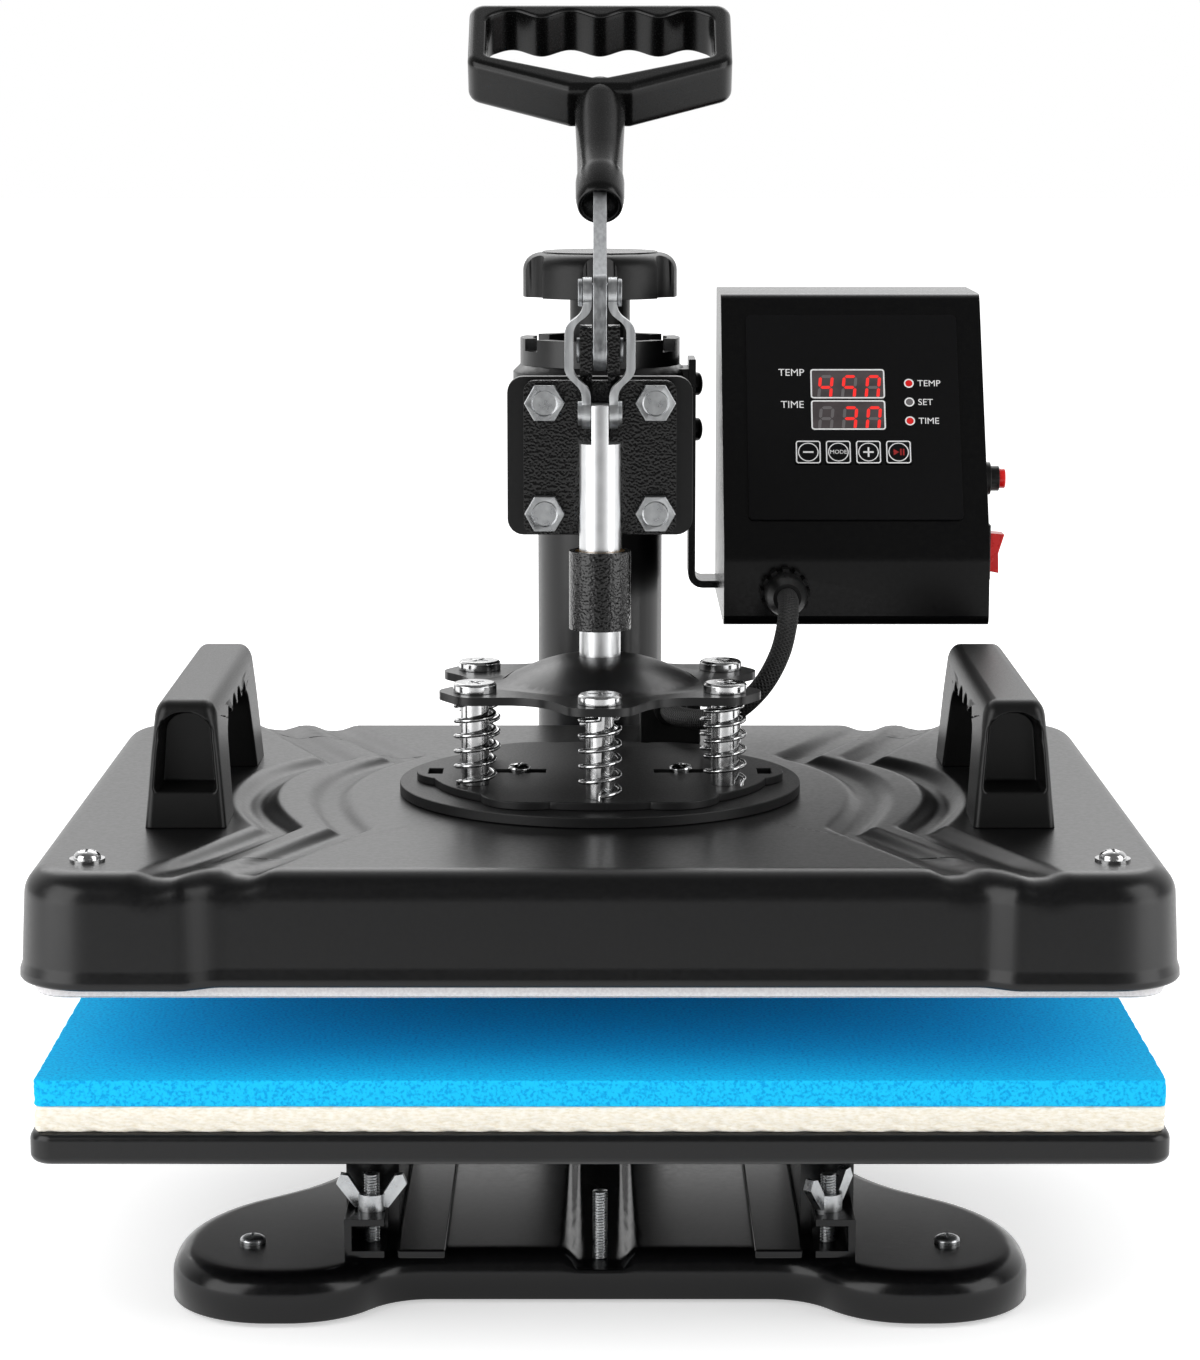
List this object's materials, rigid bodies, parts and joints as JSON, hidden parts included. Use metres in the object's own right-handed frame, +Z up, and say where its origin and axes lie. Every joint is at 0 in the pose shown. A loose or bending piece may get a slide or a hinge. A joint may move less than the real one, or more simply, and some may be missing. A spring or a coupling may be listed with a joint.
{
  "type": "swing-away heat press",
  "caption": "Swing-away heat press: lever-driven sprung heating platen over a padded tray, on a column arm with a control box and a pressure knob",
  "frame": {"origin": "on the floor under the middle of the object's box", "axes": "+Z up, -Y towards the operator, +X to the operator's right where the control box is"},
  "size_m": [0.392, 0.401, 0.46],
  "materials": {
    "black_paint": "satin black powder coat",
    "hammertone": "black hammertone",
    "zinc": "bright zinc plate",
    "polished_steel": "polished",
    "bronze": "plain bearing bronze",
    "black_plastic": "satin black plastic",
    "panel_gloss": "smooth black overlay",
    "red_plastic": "glossy red",
    "display": "dark smoked window",
    "board": "green solder mask",
    "black_rubber": "matt",
    "braid": "braided sleeve",
    "blue_foam": "open-cell silicone foam",
    "cream_felt": "pressed felt",
    "aluminium": "cast",
    "white_sheet": "coated white cloth",
    "bush_plastic": "natural nylon"
  },
  "bodies": {
    "base": {"base_shell": "black_paint", "rubber_feet": "black_rubber", "foot_screws": "zinc", "deck_rails": "black_paint", "threaded_studs": "zinc", "column": "black_paint", "column_nut": "zinc", "tray_legs": "black_paint", "lower_tray": "black_paint", "felt_pad": "cream_felt", "foam_pad": "blue_foam"},
    "wing_left": {"wing_nut_left": "zinc"},
    "wing_right": {"wing_nut_right": "zinc"},
    "lift": {"lift_bush": "bush_plastic"},
    "knob": {"pressure_knob": "black_plastic", "knob_cap": "black_plastic", "pressure_screw": "zinc"},
    "arm": {"swing_collar": "black_paint", "collar_ring": "black_paint", "arm_beam": "black_paint", "head_plate": "black_paint", "head_casting": "hammertone", "head_bolts": "zinc", "ram_bush": "bronze", "fulcrum_pin": "zinc", "box_bracket": "black_paint", "bracket_bolts": "black_paint", "box_front": "black_paint", "box_rear": "black_paint", "control_panel": "panel_gloss", "display_windows": "display", "indicator_lamps": "red_plastic", "circuit_board": "board", "switch_housings": "black_plastic", "power_inlet": "black_plastic", "cable_gland": "black_plastic", "heater_cable": "braid"},
    "key_minus": {"minus_key": "panel_gloss"},
    "key_mode": {"mode_key": "panel_gloss"},
    "key_plus": {"plus_key": "panel_gloss"},
    "key_start": {"start_key": "red_plastic"},
    "rocker": {"power_rocker": "red_plastic"},
    "button": {"reset_button": "red_plastic"},
    "lever": {"lever_bar": "zinc", "lever_handle": "black_plastic", "lever_pin": "zinc"},
    "links": {"link_straps": "zinc"},
    "plunger": {"ram": "polished_steel", "spider_plate": "black_paint"},
    "platen": {"press_springs": "polished_steel", "spring_bolts": "polished_steel", "lobed_plate": "black_paint", "swivel_disc": "black_paint", "platen_cover": "black_paint", "cover_screws": "zinc", "cover_handles": "black_plastic", "cable_inlet": "black_plastic", "insulation_blanket": "cream_felt", "heating_plate": "aluminium", "release_sheet": "white_sheet"}
  },
  "joints": [
    {"name": "lift_slide", "type": "slide", "parent": "base", "child": "lift", "axis": [0, 0, 1], "range_m": [0, 0.006]},
    {"name": "knob_turn", "type": "hinge", "parent": "lift", "child": "knob", "pos_m": [0, 0.1455, 0.35], "axis": [0, 0, 1], "range_deg": [0, 1080]},
    {"name": "swing", "type": "hinge", "parent": "lift", "child": "arm", "pos_m": [0, 0.1455, 0.285], "axis": [0, 0, 1], "continuous": true},
    {"name": "lever_turn", "type": "hinge", "parent": "arm", "child": "lever", "pos_m": [0, -0.0445, 0.3316], "axis": [1, 0, 0], "range_deg": [0, 135]},
    {"name": "link_turn", "type": "hinge", "parent": "lever", "child": "links", "pos_m": [0, -0.0445, 0.3526], "axis": [1, 0, 0], "range_deg": [-115.3, 0]},
    {"name": "ram_slide", "type": "slide", "parent": "arm", "child": "plunger", "axis": [0, 0, -1], "range_m": [0, 0.0333]},
    {"name": "platen_slide", "type": "slide", "parent": "arm", "child": "platen", "axis": [0, 0, -1], "range_m": [0, 0.0267], "deforming": ["press_springs"]},
    {"name": "minus_press", "type": "slide", "parent": "arm", "child": "key_minus", "axis": [0, 0.866, -0.5], "range_m": [0, 0.0005], "stiffness_N_per_m": 400, "springref_m": -0.001},
    {"name": "mode_press", "type": "slide", "parent": "arm", "child": "key_mode", "axis": [0, 0.866, -0.5], "range_m": [0, 0.0005], "stiffness_N_per_m": 400, "springref_m": -0.001},
    {"name": "plus_press", "type": "slide", "parent": "arm", "child": "key_plus", "axis": [0, 0.866, -0.5], "range_m": [0, 0.0005], "stiffness_N_per_m": 400, "springref_m": -0.001},
    {"name": "start_press", "type": "slide", "parent": "arm", "child": "key_start", "axis": [0, 0.866, -0.5], "range_m": [0, 0.0005], "stiffness_N_per_m": 400, "springref_m": -0.001},
    {"name": "rocker_tilt", "type": "hinge", "parent": "arm", "child": "rocker", "pos_m": [0.1545, 0.0765, 0.2431], "axis": [0, 1, 0], "range_deg": [-16, 0]},
    {"name": "button_press", "type": "slide", "parent": "arm", "child": "button", "axis": [-1, 0, 0], "range_m": [0, 0.002], "stiffness_N_per_m": 300, "springref_m": -0.002},
    {"name": "wing_left_turn", "type": "hinge", "parent": "base", "child": "wing_left", "pos_m": [-0.081, -0.1285, 0.036], "axis": [0, 0, 1], "continuous": true},
    {"name": "wing_right_turn", "type": "hinge", "parent": "base", "child": "wing_right", "pos_m": [0.081, -0.1285, 0.036], "axis": [0, 0, 1], "continuous": true}
  ],
  "couplings": [
    {"joint": "knob_turn", "follows": "lift_slide", "rad_per_m": 3141.6},
    {"joint": "lever_turn", "follows": "platen_slide", "rad_per_m": 88.247},
    {"joint": "link_turn", "follows": "platen_slide", "rad_per_m": -75.354},
    {"joint": "ram_slide", "follows": "platen_slide", "ratio": 1.246}
  ]
}
